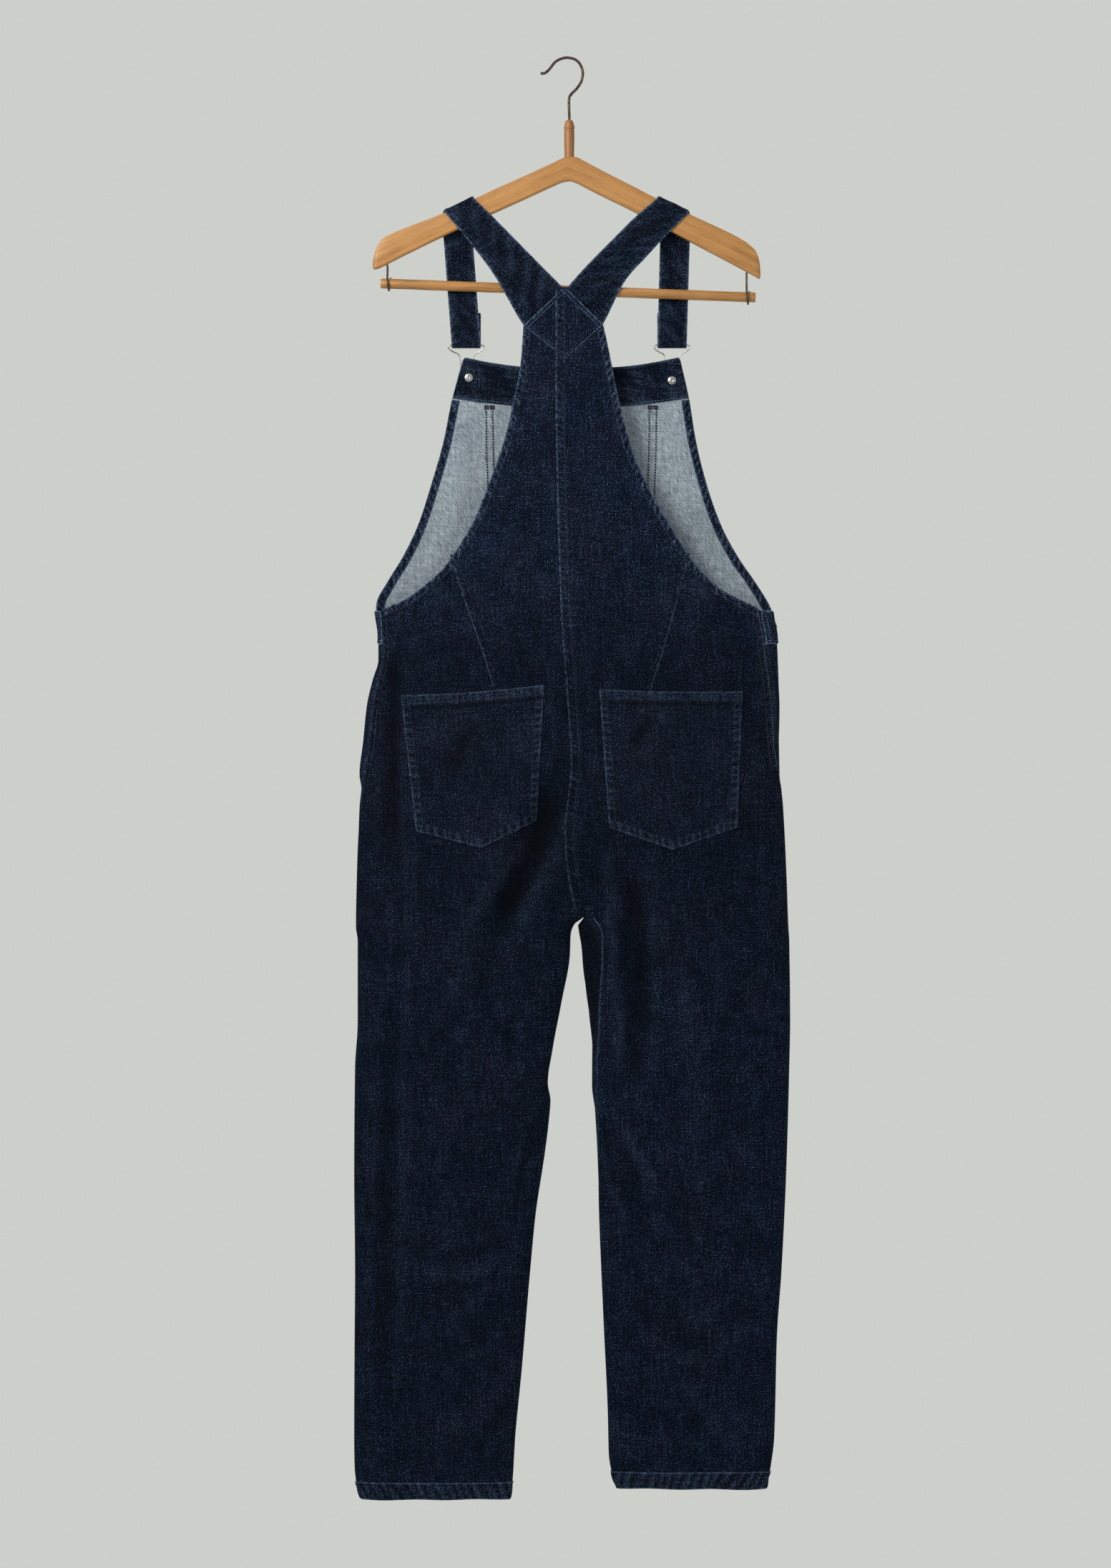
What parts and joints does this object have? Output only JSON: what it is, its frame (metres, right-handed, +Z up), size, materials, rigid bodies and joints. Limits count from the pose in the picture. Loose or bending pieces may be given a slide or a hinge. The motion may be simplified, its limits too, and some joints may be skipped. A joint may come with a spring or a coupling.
{
  "type": "denim dungarees on a wooden hanger",
  "caption": "Denim dungarees hanging flat by their shoulder straps on a wooden clothes hanger, seen from the back, with open bib, trunk and trouser legs.",
  "frame": {"origin": "top of the inside of the hanger's hook, where it rests on a nail or rail", "axes": "+Z up; the garment's back faces -Y and its front faces +Y; +X is to the right as seen from behind"},
  "size_m": [0.495, 0.0554, 1.6373],
  "materials": {
    "denim": "matt indigo twill with paler worn edges",
    "wood": "satin beech",
    "wire": "tarnished steel wire",
    "nickel": "nickel-plated, slightly dulled"
  },
  "bodies": {
    "root": {"back_left_bodice": "denim", "back_left_seat": "denim", "back_left_fork": "denim", "back_left_thigh": "denim", "back_left_knee": "denim", "back_left_shin": "denim", "back_right_bodice": "denim", "back_right_seat": "denim", "back_right_fork": "denim", "back_right_thigh": "denim", "back_right_knee": "denim", "back_right_shin": "denim", "front_left_seat": "denim", "front_left_fork": "denim", "front_left_thigh": "denim", "front_left_knee": "denim", "front_left_shin": "denim", "front_right_seat": "denim", "front_right_fork": "denim", "front_right_thigh": "denim", "front_right_knee": "denim", "front_right_shin": "denim", "back_pocket_left": "denim", "back_pocket_right": "denim", "bib": "denim", "bib_band_facing": "denim", "bib_side_facing_left": "denim", "bib_side_facing_right": "denim", "bib_pocket": "denim", "front_waistband": "denim", "strap_left": "denim", "strap_right": "denim", "bib_button_left": "nickel", "bib_button_right": "nickel", "bib_rivet_left": "nickel", "bib_rivet_right": "nickel", "clasp_left": "nickel", "clasp_right": "nickel", "strap_slide_left": "nickel", "strap_slide_right": "nickel", "waist_button_left": "nickel", "waist_button_right": "nickel", "side_button_left": "nickel", "side_button_right": "nickel", "hanger_arms": "wood", "hanger_peg": "wood", "hanger_bar": "wood", "hanger_hook": "wire", "hanger_loop_left": "wire", "hanger_loop_right": "wire"}
  },
  "joints": []
}
